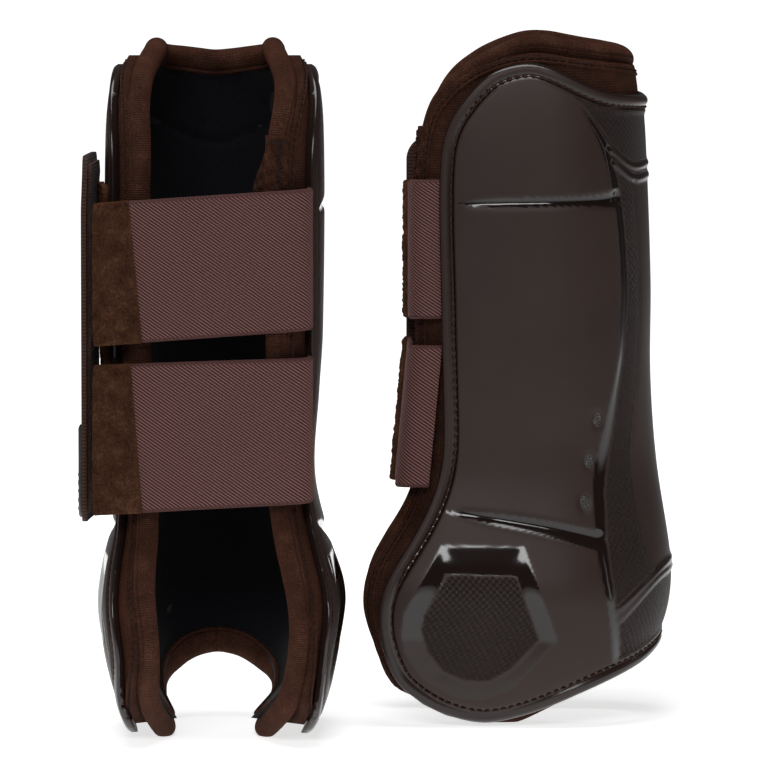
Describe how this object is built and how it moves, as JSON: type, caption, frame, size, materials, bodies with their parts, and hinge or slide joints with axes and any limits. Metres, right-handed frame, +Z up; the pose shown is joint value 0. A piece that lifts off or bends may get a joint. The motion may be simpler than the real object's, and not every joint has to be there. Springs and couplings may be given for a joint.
{
  "type": "tendon boots",
  "caption": "Pair of moulded horse tendon boots with padded liners, rolled edges, elastic rear straps and peel-off closures.",
  "frame": {"origin": "centre of the pair's bounding box at the floor it stands on", "axes": "+Z up the leg. Boot A faces +Y with its open rear towards -Y; boot B stands a quarter turn from it and faces +X, with its medial side towards -Y"},
  "size_m": [0.2208, 0.1564, 0.2552],
  "materials": {
    "moulded_shell": "moulded flexible plastic, satin with gloss channels",
    "jersey": "brushed knit jersey",
    "foam": "closed-cell foam",
    "lining_knit": "smooth dark knit",
    "elastic": "twill-woven elastic webbing",
    "loop_pile": "fuzzy loop pile",
    "panel_webbing": "ribbed webbing",
    "hook_tape": "hook tape",
    "tab_rubber": "satin rubber",
    "vent_mesh": "fine moulded mesh"
  },
  "bodies": {
    "boot_a": {"boot_a_shell": "moulded_shell", "boot_a_padded_liner": "jersey", "boot_a_foam_core": "foam", "boot_a_lining": "lining_knit", "boot_a_edge_roll": "jersey", "boot_a_piping": "jersey", "boot_a_medial_vent_1": "vent_mesh", "boot_a_medial_vent_2": "vent_mesh", "boot_a_medial_vent_3": "vent_mesh", "boot_a_lateral_vent_1": "vent_mesh", "boot_a_lateral_vent_2": "vent_mesh", "boot_a_lateral_vent_3": "vent_mesh", "boot_a_shell_loop_patch": "loop_pile", "boot_a_anchor_patch": "jersey"},
    "boot_a_straps": {"boot_a_upper_elastic": "elastic", "boot_a_upper_loop_pad": "loop_pile", "boot_a_lower_elastic": "elastic", "boot_a_lower_loop_pad": "loop_pile"},
    "boot_a_panel": {"boot_a_closure_panel": "panel_webbing", "boot_a_hook_patch": "hook_tape", "boot_a_pull_tab": "tab_rubber"},
    "boot_b": {"boot_b_shell": "moulded_shell", "boot_b_padded_liner": "jersey", "boot_b_foam_core": "foam", "boot_b_lining": "lining_knit", "boot_b_edge_roll": "jersey", "boot_b_piping": "jersey", "boot_b_medial_vent_1": "vent_mesh", "boot_b_medial_vent_2": "vent_mesh", "boot_b_medial_vent_3": "vent_mesh", "boot_b_lateral_vent_1": "vent_mesh", "boot_b_lateral_vent_2": "vent_mesh", "boot_b_lateral_vent_3": "vent_mesh", "boot_b_shell_loop_patch": "loop_pile", "boot_b_anchor_patch": "jersey"},
    "boot_b_straps": {"boot_b_upper_elastic": "elastic", "boot_b_upper_loop_pad": "loop_pile", "boot_b_lower_elastic": "elastic", "boot_b_lower_loop_pad": "loop_pile"},
    "boot_b_panel": {"boot_b_closure_panel": "panel_webbing", "boot_b_hook_patch": "hook_tape", "boot_b_pull_tab": "tab_rubber"}
  },
  "joints": [
    {"name": "boot_a_strap_swing", "type": "hinge", "parent": "boot_a", "child": "boot_a_straps", "pos_m": [-0.02515, -0.05277, 0.13874], "axis": [0, 0, 1], "range_deg": [0, 110]},
    {"name": "boot_a_panel_peel", "type": "hinge", "parent": "boot_a_straps", "child": "boot_a_panel", "pos_m": [-0.10725, -0.06247, 0.13874], "axis": [0, 0, 1], "range_deg": [0, 70]},
    {"name": "boot_b_slide", "type": "slide", "parent": "boot_a", "child": "boot_b", "axis": [1, 0, 0], "range_m": [0, 0.15]},
    {"name": "boot_b_strap_swing", "type": "hinge", "parent": "boot_b", "child": "boot_b_straps", "pos_m": [0.01965, -0.00707, 0.13874], "axis": [0, 0, 1], "range_deg": [0, 38]},
    {"name": "boot_b_panel_peel", "type": "hinge", "parent": "boot_b_straps", "child": "boot_b_panel", "pos_m": [0.00995, 0.07503, 0.13874], "axis": [0, 0, 1], "range_deg": [0, 70]}
  ]
}
